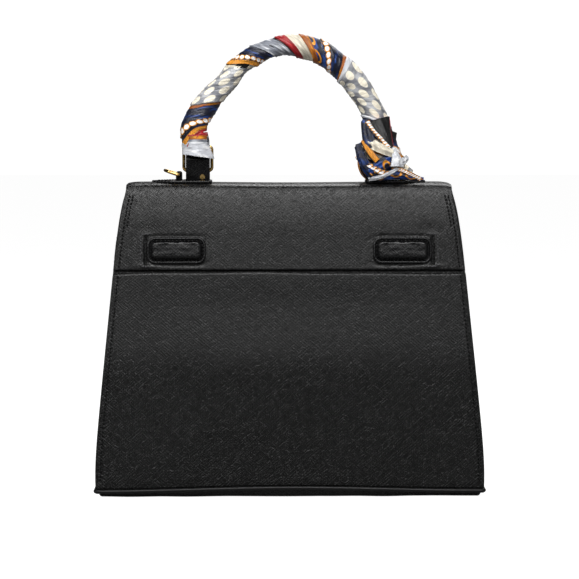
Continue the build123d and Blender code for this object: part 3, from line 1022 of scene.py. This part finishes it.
def back_surface(x, z):
    return swell(x, z) + back_relief(x, z) + STITCH_RISE


def pocket_surface(x, z):
    return pocket_level(x, z) + STITCH_RISE


def front_surface(x, z):
    return front_level(x, z) + 0.12


def edge_line(margin, low, high):
    """Corners (x, z) along the right edge of the body, a margin inside it."""
    return [(half_w(z) - margin, z) for z in spaced([low, high], [6.0])]


def tab_seam(side):
    """Stitched outline of a tab, a little inside its edge."""
    left, right, high = TAB_IN + TAB_GROOVE, TAB_END - 5.0, BELT_H / 2 - TAB_GROOVE
    corner = 3.8
    outline = [(right, high), (left + corner, high)]
    for i in range(1, 6):
        turn = math.radians(90 + 15 * i)
        outline.append((left + corner * (1 + math.cos(turn)), high - corner * (1 - math.sin(turn))))
    outline.append((left, high - corner))
    outline += [(x, -z) for x, z in outline[::-1]]
    run = []
    for p in upright_points(outline, 1.0):
        z = BELT_Z + p.z
        run.append(on_panel(1, side * p.x, z, swell(side * p.x, z) + tab_height(p.x, z) + 0.15))
    return run


def bracket_seam(side):
    """Stitching on the far side of the slit."""
    x0, x1, z0 = SLIT_X + 0.5, SLIT_X + 3.6, BELT_H / 2 + 2.0
    corners = [(x0 - 5, z0), (x1 - 1, z0), (x1, z0 - 1), (x1, 1 - z0), (x1 - 1, -z0), (x0 - 5, -z0)]
    return line_points(back_surface, 1, [(side * x, BELT_Z + z) for x, z in corners], 1.0)


def build_seams():
    body_runs = []
    for margin, low, high, level, panel in (
        (SEAM_IN, POCKET_TOP + 3, 219, back_surface, 1),
        (6.6, 195, 219, back_surface, 1),
        (SEAM_IN, 12, POCKET_TOP - 2, pocket_surface, 1),
        (SEAM_IN, 12, 188, front_surface, -1),
    ):
        corners = edge_line(margin, low, high)
        for side in (1, -1):
            body_runs.append(line_points(level, panel, [(side * x, z) for x, z in corners]))
    for _, side in SIDES:
        body_runs.append(tab_seam(side))
    seams = stitches("body_stitching", body_runs, thread, pitch=2.9, radius=0.62)
    bracket_runs = [bracket_seam(side) for _, side in SIDES]
    # these stitches take the light grey thread that paints highlight glints
    brackets = stitches("slit_stitching", bracket_runs, thread_painted_glint, radius=0.36)
    for piece in (seams, brackets):
        assign(piece, "black_leather", "bag_body")

    flap_runs = []
    drop = FLAP_SIDE_Z + 4
    corner = half_w(FLAP_SIDE_Z) - 3.7
    outline = [
        (corner - 4, 216), (corner, drop + 5), (corner - 5, drop), (TONGUE_ROOT, drop),
        (TONGUE_HALF - 1, drop - 4), (20, drop - 10), (20, TONGUE_Z + TONGUE_R),
        (15, TONGUE_Z + 4), (0, TONGUE_Z + 4),
    ]
    for side in (1, -1):
        run = upright_points(outline, 1.5)
        flap_runs.append([flap_front(side * p.x, p.z) + Vector((0, -0.12, 0)) for p in run])
    flap_seams = stitches("flap_stitching", flap_runs, thread)
    assign(flap_seams, "black_leather", "flap")

    for name, side in SIDES:
        runs = []
        for h in (-7.4, 7.4):
            line = resampled(strap_line(front_path, BELT_Z + h), 2.0)[8:-3]
            runs.append([Vector((side * p.x, p.y - 0.95, p.z)) for p in line])
        strap_seams = stitches(f"belt_{name}_stitching", runs, thread)
        assign(strap_seams, "black_leather", f"belt_{name}")


# ---------------------------------------------------------------- scarf round the handle
# Centreline of the wrapped handle, right end to left end: it leans a little to one side.
ARCH_LINE = [
    (67.5, 250.0), (70.6, 261.0), (70.8, 270.0), (57.5, 290.5), (45.0, 303.5), (33.0, 317.0),
    (17.0, 325.5), (-3.0, 328.5), (-22.0, 324.5), (-37.5, 313.5), (-52.0, 297.5), (-62.5, 280.0),
    (-68.6, 264.0), (-68.5, 250.0),
]
# Print of the silk along the handle: which pattern, its length in mm, and whether a new turn starts.
WRAPS = [
    ("red", 4.0, 0), ("belt", BAND_BELT, 0), ("navy", 2.0, 0), ("rope", BAND_ROPE, 1),
    ("navy", 11.5, 0), ("gold", 2.5, 0), ("dots", 36.0, 1), ("cream", 2.5, 0), ("belt", BAND_BELT, 1),
    ("rope", BAND_ROPE, 0), ("navy", 9.0, 0), ("silver", 16.0, 1), ("ink", 1.5, 0), ("red", 6.5, 1),
    ("cream", 9.0, 0), ("gold", 5.5, 1), ("rings", 8.5, 0), ("rope", BAND_ROPE, 1), ("navy", 9.0, 0),
    ("gold", 2.0, 0), ("white", 3.0, 1), ("dots", 42.0, 0), ("white", 2.0, 1), ("navy", 14.0, 0),
]
TUBE_COLUMNS, HANDLE_COLUMNS = 72, 20
SILK_T, HANDLE_R = 0.35, 6.6


def tube_frame(line, s, total):
    """Point, direction and outward direction at a distance along a line of even points."""
    place = min(max(s / total, 0.0), 1.0) * (len(line) - 1)
    i = min(int(place), len(line) - 2)
    point = line[i].lerp(line[i + 1], place - i)
    a, b = line[max(i - 2, 0)], line[min(i + 3, len(line) - 1)]
    along = (b - a).normalized()
    outward = Vector((0, 1, 0)).cross(along)
    return point, along, outward


def around(outward, angle, depth=1.0):
    """Direction at an angle round a tube that lies in the XZ plane, outward at 0."""
    return outward * math.cos(angle) + Vector((0, depth, 0)) * math.sin(angle)


def silk_tube(name, line, wraps, radius_at, slant_at, depth=1.0, start=0.0):
    """Silk wound round a line: tilted turns, each printed with its own pattern and lapping the next."""
    total = path_length(line)
    rows, lap_ends, reached = [], [start], start
    for kind, length, fresh in wraps:
        if fresh:
            lap_ends.append(reached)
        rows.append((kind, reached, length))
        reached += length
    lap_ends.append(reached)
    points, uvs, face_slots = [], [], []
    for kind, low, length in rows:
        fresh = low in lap_ends
        turn_start = max(s for s in lap_ends if s <= low + 1e-6)
        turn_end = min(s for s in lap_ends if s > low + 1e-6)
        steps = [0.0, 0.35] + spaced([0.8, max(length - 0.05, 0.9)], [0.85])
        first = len(points) // TUBE_COLUMNS
        for step in steps:
            here = low + min(step, length)
            lap = (here - turn_start) / max(turn_end - turn_start, 1e-6)
            lip = 0.9 * (1 - lap) ** 1.5 if not (fresh and step == 0.0) else 0.05
            for k in range(TUBE_COLUMNS):
                angle = 2 * math.pi * k / TUBE_COLUMNS
                slant = slant_at(here / total)
                s = here - slant * math.cos(angle)
                point, along, outward = tube_frame(line, s, total)
                if s < 0 or s > total:
                    point = point + along * (s if s < 0 else s - total)
                cos, sin = math.cos(angle), math.sin(angle)
                fold = 0.30 * noise.noise(Vector((here / 3.2, cos * 0.9, sin * 0.9)))
                fold += 1.2 * noise.noise(Vector((here / 14, cos * 0.8 + 5, sin * 0.8)))
                ridge = 0.12 * math.sin(here * 1.9 + 1.6 * math.sin(angle * 2 + here * 0.1))
                radius = radius_at(here / total) + lip + fold + ridge
                points.append(point + around(outward, angle, depth) * radius)
                uvs.append((angle * 9.5, here - low))
        last = len(points) // TUBE_COLUMNS
        bands = last - 1 - max(first - 1, 0)
        face_slots += [SILK_NAMES.index(kind)] * bands * TUBE_COLUMNS
    faces = grid_faces(TUBE_COLUMNS, len(points) // TUBE_COLUMNS, wrap=True)
    return add_object(name, points, faces, list(SILKS.values()), face_slots, uvs)


def handle_line():
    return resampled(smooth_path([Vector((x, 0, z)) for x, z in ARCH_LINE], 3), 1.5)


def wrap_radius(t):
    """The wrapped handle is thick on its legs and thin over the crown."""
    return 8.7 - 1.5 * hump(t - 0.32, 0.10) - 2.0 * hump(t - 0.45, 0.06) + 0.6 * hump(t - 0.07, 0.06)


def wrap_slant(t):
    """Tilt of the turns: it leans the other way on the left leg."""
    return 8.0 - 16.0 * smooth(0.62, 0.85, t)


def build_handle():
    """Leather handle under the silk, and the silk wound round it."""
    line = handle_line()
    total = path_length(line)
    points = []
    for i in range(len(line)):
        point, _, outward = tube_frame(line, total * i / (len(line) - 1), total)
        for k in range(HANDLE_COLUMNS):
            angle = 2 * math.pi * k / HANDLE_COLUMNS
            points.append(point + around(outward, angle) * HANDLE_R)
    faces = grid_faces(HANDLE_COLUMNS, len(line), wrap=True)
    faces.append(tuple(range(HANDLE_COLUMNS - 1, -1, -1)))
    faces.append(tuple((len(line) - 1) * HANDLE_COLUMNS + k for k in range(HANDLE_COLUMNS)))
    cover = add_object("handle_leather", points, faces, [leather_soft])
    box_uv(cover)
    assign(cover, "black_leather", "handle", "handle_cover", "handle_core")

    wrap = silk_tube("scarf_turns", line, WRAPS, wrap_radius, wrap_slant, start=8.0)
    thicken(wrap, SILK_T, edge=0.1)
    assign(wrap, "silk_print", "handle", "scarf_wrap")


def build_end_band():
    """Silk end wrapped round the right end of the handle, with one corner hanging down."""
    line = resampled([Vector((67.0, 0, 245)), Vector((68.4, 0, 254)), Vector((69.6, 0, 263))], 1.0)
    total = path_length(line)
    vs = [i / 22 for i in range(23)]
    points, uvs, face_slots = [], [], []
    for v in vs:
        for k in range(TUBE_COLUMNS):
            angle = 2 * math.pi * k / TUBE_COLUMNS
            inner = 0.5 - 0.5 * math.cos(angle)
            corner = 0.8 * hump(inner - 1.0, 0.2)
            low = 4.6 - 6.3 * inner - corner
            s = low + (total + 3 - low) * v
            point, along, outward = tube_frame(line, s, total)
            if s < 0:
                point = point + along * s
            flare = 1.9 * (1 - v) ** 2 + 0.45 * math.sin(angle * 5 + v * 3) * (1 - v * 0.5)
            radius = 9.6 + flare + 0.5 * noise.noise(Vector((math.cos(angle), math.sin(angle), v * 4)))
            radius -= 1.2 * smooth(0.8, 1.0, v)
            points.append(point + around(outward, angle) * radius)
            uvs.append((angle * 10, v * 20))
    faces = grid_faces(TUBE_COLUMNS, len(vs), wrap=True)
    for j in range(len(vs) - 1):
        kind = "white" if j < 12 else ("silver" if j < 14 else ("gold" if j < 17 else "red"))
        face_slots += [SILK_NAMES.index(kind)] * TUBE_COLUMNS
    band = add_object("scarf_end_wrap", points, faces, list(SILKS.values()), face_slots, uvs)
    thicken(band, SILK_T, edge=0.1)
    assign(band, "silk_print", "handle", "scarf_end_band")


KNOT_LINE = [(-69.0, 268.0), (-69.8, 258.0), (-70.6, 248.0), (-70.4, 239.0), (-69.5, 231.5), (-69.0, 228.8)]
KNOT_WRAPS = [
    ("ink", 5.0, 1), ("navy", 6.0, 0), ("rope", BAND_ROPE, 1), ("belt", BAND_BELT, 1), ("cream", 6.0, 0),
    ("rings", 5.0, 1), ("white", 7.0, 1),
]
# Loose folds across the knot and its tails: route in mm, half width at its start and end, and pattern.
FOLDS = [
    ([(-66, -8, 252), (-74, -13, 245), (-83, -12, 237), (-90, -8, 231)], 5.0, 5.6, "dots"),
    ([(-80, -8, 254), (-72, -13, 246), (-64, -13, 238), (-58, -9, 231)], 5.0, 5.0, "navy"),
    ([(-57, -4, 252), (-54, -6, 244), (-55, -7, 236), (-60, -8, 230)], 4.6, 4.6, "belt"),
    ([(-57, 6, 273), (-57.5, 9.5, 266), (-58.5, 11, 259), (-60, 13, 252)], 4.2, 5.4, "navy"),
    ([(-67.8, 8.2, 274), (-70.2, 9.8, 267), (-73.0, 10.8, 260), (-76.2, 12.0, 251.5)], 8.2, 2.0, "red"),
    ([(-67, 10.2, 274), (-69.4, 11.8, 267), (-72.2, 12.8, 260), (-75.4, 14.0, 251.5)], 8.2, 2.0, "ink"),
    ([(-58, 9.6, 272), (-62.5, 12.6, 266), (-68, 14.2, 259.5), (-74, 14.6, 253)], 2.4, 2.6, "rope"),
    (
        [(-51.5, 3, 254), (-52.5, 8, 248), (-55, 12, 242), (-59, 13, 235), (-63, 12, 229.6)],
        4.4, 5.0, "navy",
    ),
    ([(-55.5, 8, 258), (-57.5, 13, 253), (-61, 16, 247.5), (-65, 17, 243)], 2.8, 2.6, "belt"),
    ([(-78, 12, 246), (-73, 16, 243.5), (-67, 17, 240), (-60, 14, 234.5)], 4.8, 4.2, "rings"),
    ([(-59, 10, 257.5), (-65, 15.6, 254), (-72, 17, 250.6), (-78.5, 14, 248.4)], 4.8, 3.4, "cream"),
    (
        [(-50.5, 5, 246), (-54.5, 11.5, 242.5), (-61, 16, 238.5), (-68, 18, 234.6), (-76, 16, 233)],
        2.4, 2.8, "rope",
    ),
    ([(-77, 13.5, 253), (-78.6, 16, 248), (-79.6, 17.5, 243.5), (-79.6, 18, 239)], 1.6, 5.8, "white"),
    ([(-79, 16, 241), (-82.5, 16, 242), (-85.5, 14, 243.6), (-87.5, 11, 245.4)], 3.4, 2.2, "white"),
    (
        [(-66, 14, 231), (-76, 16, 233.2), (-85, 14.5, 232), (-93, 13, 229.6), (-99.5, 12, 229.6)],
        4.6, 1.4, "rings",
    ),
    ([(-79, 17.2, 237.6), (-85, 16.4, 235.6), (-91, 14.6, 232.6), (-97, 13, 229.6)], 1.8, 1.6, "rope"),
    ([(-59.5, 12, 229.6), (-66, 17.6, 230.4), (-73, 19, 233.4), (-80, 18, 237.4)], 2.0, 1.5, "white"),
]


def fold_strip(route, start_half, end_half, seed):
    """A folded strip of silk, plump in its middle and thin at its edges."""
    line = resampled(smooth_path([Vector(p) for p in route], 3), 0.9)
    centre = Vector((-70, 0, 243))
    vs = [-1 + 2 * i / 18 for i in range(19)]
    count = len(line)
    points, uvs = [], []
    for surface in (1, -1):
        for i, point in enumerate(line):
            a, b = line[max(i - 1, 0)], line[min(i + 1, count - 1)]
            along = (b - a).normalized()
            out = point - centre
            out = (out - along * out.dot(along)).normalized()
            across = along.cross(out)
            t = i / (count - 1)
            width = start_half + (end_half - start_half) * t
            plump_width = min(width / 4.5, 1.0)
            for v in vs:
                plump = 2.4 * plump_width * (1 - v * v) if surface > 0 else -1.4 * (1 - v * v) - 0.4
                ripple = 0.4 * plump_width * math.cos(v * 7.5 + seed) * (1 - v ** 4)
                ripple += 0.5 * noise.noise(Vector((t * 4, v * 1.4, seed)))
                height = plump + (ripple if surface > 0 else 0)
                points.append(point + across * v * width + out * height)
                uvs.append((t * 40 + seed * 3, (v + 1) * BAND_ROPE / 2))
    per = count * len(vs)
    faces = grid_faces(len(vs), count)
    faces += [tuple(k + per for k in face[::-1]) for face in grid_faces(len(vs), count)]
    for i in range(count - 1):
        for j in (0, len(vs) - 1):
            a, b = i * len(vs) + j, (i + 1) * len(vs) + j
            faces.append((a, b, b + per, a + per) if j else (b, a, a + per, b + per))
    for i in (0, count - 1):
        for j in range(len(vs) - 1):
            a, b = i * len(vs) + j, i * len(vs) + j + 1
            faces.append((b, a, a + per, b + per) if i else (a, b, b + per, a + per))
    return points, faces, uvs


def build_knot():
    """Knot and tails over the left handle mount, in one mesh."""
    line = resampled(smooth_path([Vector((x, 0, z)) for x, z in KNOT_LINE], 3), 1.0)

    def knot_radius(t):
        return 9.8 + 6.2 * math.sin(math.pi * smooth(0.1, 1.15, t)) - 1.5 * smooth(0.9, 1.05, t)

    core = silk_tube("scarf_knot_and_tails", line, KNOT_WRAPS, knot_radius, lambda t: -5.0, depth=0.86)
    thicken(core, SILK_T, edge=0.1)
    points = [Vector(v.co) / MM for v in core.data.vertices]
    faces = [tuple(face.vertices) for face in core.data.polygons]
    slots = [face.material_index for face in core.data.polygons]
    layer = core.data.uv_layers[0].data
    uvs = [None] * len(points)
    for loop in core.data.loops:
        uvs[loop.vertex_index] = tuple(layer[loop.index].uv)
    bpy.data.objects.remove(core)
    for seed, (route, start_half, end_half, kind) in enumerate(FOLDS):
        more_points, more_faces, more_uvs = fold_strip(route, start_half, end_half, seed + 0.5)
        shift = len(points)
        points += more_points
        uvs += more_uvs
        faces += [tuple(k + shift for k in face) for face in more_faces]
        slots += [SILK_NAMES.index(kind)] * len(more_faces)
    for point in points:
        point.z = max(point.z, FLAP_TOP + 0.4)
    knot = add_object("scarf_knot_and_tails", points, faces, list(SILKS.values()), slots, uvs)
    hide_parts("scarf_knot", "scarf_tails")
    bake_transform(knot)


# ---------------------------------------------------------------- assembly
CHAPE_SPREAD = 1.18      # soft chapes spread a little between the wires of the ring


def build_mounts():
    """Leather pads, chapes and keepers of the handle, rounded and sewn."""
    for name, side in SIDES:
        for node, width in (("handle_pad", 0.7), ("handle_chape", 1.0), ("ring_keeper", 0.5)):
            piece = softened(f"{node}_{name}", leather_soft, width)
            if node == "handle_chape":
                for vertex in piece.data.vertices:
                    vertex.co.x = (vertex.co.x - side * HANDLE_X * MM) * CHAPE_SPREAD + side * HANDLE_X * MM
            assign(piece, "black_leather", "flap")
        end = softened(f"handle_end_{name}", leather_soft, 0.8)
        assign(end, "black_leather", "handle")
    runs = []
    for _, side in SIDES:
        outline = [(59.5, -8.5), (85.3, -9.3), (98.0, 0), (85.3, 9.3), (59.5, 8.5), (59.5, -8.5)]
        runs.append([Vector((side * x, y, 228.62)) for x, y in outline])
        for y in (-4.25, 4.25):
            frame_x = 5.4
            outline = [(-frame_x, 233.4), (-frame_x, 243.2), (frame_x, 243.2), (frame_x, 230.4)]
            runs.append([Vector((side * (HANDLE_X + x), y, z)) for x, z in outline])
    seams = stitches("mount_stitching", runs, thread, pitch=2.4, length=1.7, radius=0.22)
    assign(seams, "black_leather", "flap")


def finish_metal():
    """Gold on the CAD nodes that stay, shaded smooth except at their real edges."""
    for name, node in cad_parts.items():
        metal = any(word in name for word in ("rivet", "ring", "plate", "boss", "knob"))
        if metal and "keeper" not in name and not node.hide_render:
            node.data.materials.clear()
            node.data.materials.append(gold)
            node.data.polygons.foreach_set("use_smooth", [True] * len(node.data.polygons))
            node.data.set_sharp_from_angle(angle=math.radians(35))


FLAP_LINING_BACK = 12.0  # the lining of the flap stops here, short of the turned-in rear edge


def build_linings():
    for node, body in (
        ("lining_back", "bag_body"), ("lining_front", "bag_body"),
        ("lining_base", "bag_body"), ("flap_lining", "flap"),
    ):
        piece = assign(softened(node, lining, 0.2), "lining_cloth", body)
        if node == "flap_lining":
            for vertex in piece.data.vertices:
                vertex.co.y = min(vertex.co.y, FLAP_LINING_BACK * MM)
    assign(softened("base_board", board, 0.4), "board", "bag_body")
    for end in ("front", "rear"):
        for name, _ in SIDES:
            assign(softened(f"foot_{end}_{name}", gold, 0.5), "gold_metal", "bag_body")


# ---------------------------------------------------------------- studio
def area_light(name, place, target, size, power):
    light = bpy.data.lights.new(name, "AREA")
    light.shape = "RECTANGLE"
    light.size, light.size_y = size
    light.energy = power
    obj = linked(name, light)
    obj.location = place
    obj.rotation_euler = (Vector(target) - Vector(place)).to_track_quat("-Z", "Y").to_euler()
    obj.visible_camera = False


def build_studio():
    scene = bpy.context.scene
    scene.view_settings.view_transform = "Standard"
    world = bpy.data.worlds.new("studio")
    scene.world = world
    world.use_nodes = True
    tree = world.node_tree
    tree.nodes["Background"].inputs["Color"].default_value = (1, 1, 1, 1)
    tree.nodes["Background"].inputs["Strength"].default_value = 0.03
    seen = tree.nodes.new("ShaderNodeBackground")
    seen.inputs["Color"].default_value = (1, 1, 1, 1)
    seen.inputs["Strength"].default_value = 1.05
    path = tree.nodes.new("ShaderNodeLightPath")
    mix = tree.nodes.new("ShaderNodeMixShader")
    tree.links.new(path.outputs["Is Camera Ray"], mix.inputs[0])
    tree.links.new(tree.nodes["Background"].outputs[0], mix.inputs[1])
    tree.links.new(seen.outputs[0], mix.inputs[2])
    tree.links.new(mix.outputs[0], tree.nodes["World Output"].inputs[0])

    p = Paint("pale_floor")
    seen_by_camera = p.tree.nodes.new("ShaderNodeLightPath").outputs["Is Camera Ray"]
    p.shader.inputs["Emission Color"].default_value = (1, 1, 1, 1)
    p.set(Base_Color=(0.22, 0.22, 0.22, 1), Roughness=0.9)
    p.put(p.shader.inputs["Emission Strength"], p.step(seen_by_camera, 0.0, 1.0, 0.02, 0.97))
    half = 6.0
    mesh = bpy.data.meshes.new("floor")
    corners = [(-half, -half, 0), (half, -half, 0), (half, half, 0), (-half, half, 0)]
    mesh.from_pydata(corners, [], [(0, 1, 2, 3)])
    mesh.materials.append(p.material)
    mesh.uv_layers.new(name="UVMap")
    linked("floor", mesh)

    area_light("key_overhead", (0, 0.8, 1.3), (0, 0, 0.2), (1.4, 0.6), 22)
    area_light("rear_softbox", (0, 2.3, 1.42), (0, 0, 1.42), (2.8, 1.0), 15)
    area_light("front_softbox", (-0.3, -1.1, 1.1), (0, 0, 0.15), (1.0, 0.8), 9)
    area_light("left_fill", (1.1, 0.4, 0.9), (0, 0, 0.27), (0.5, 0.7), 6.0)
    area_light("right_fill", (-1.3, 0.3, 0.6), (0, 0, 0.2), (0.5, 0.9), 1.5)


def build_camera():
    """Looks at the back of the bag from slightly above, with a long lens."""
    distance, azimuth, elevation = 1.6, math.radians(179.0), math.radians(5.3)
    target = Vector((-0.0006, 0, 0.1466))
    back = Vector((
        math.sin(azimuth) * math.cos(elevation),
        -math.cos(azimuth) * math.cos(elevation),
        math.sin(elevation),
    ))
    data = bpy.data.cameras.new("camera")
    data.lens = 133.0
    camera = linked("camera", data)
    camera.location = target + back * distance
    camera.rotation_euler = (-back).to_track_quat("-Z", "Y").to_euler()
    bpy.context.scene.camera = camera


build_shell()
pocket = panel_sheet("rear_pocket_sheet", 1, POCKET_LOW, POCKET_TOP, pocket_level, 1.3, lift=pocket_wave)
assign(pocket, "black_leather", "bag_body", "rear_pocket_panel")
front = panel_sheet("front_leather", -1, FOOT_H, FRONT_TOP, front_level, 2.2)
assign(front, "black_leather", "bag_body", "front_panel")
for side_name, side_sign in SIDES:
    build_gusset(side_name, side_sign)
    build_belt(side_name, side_sign)
build_welt()
build_base()
build_seams()
build_mounts()
build_linings()
build_handle()
build_end_band()
build_knot()
finish_metal()
build_studio()
build_camera()
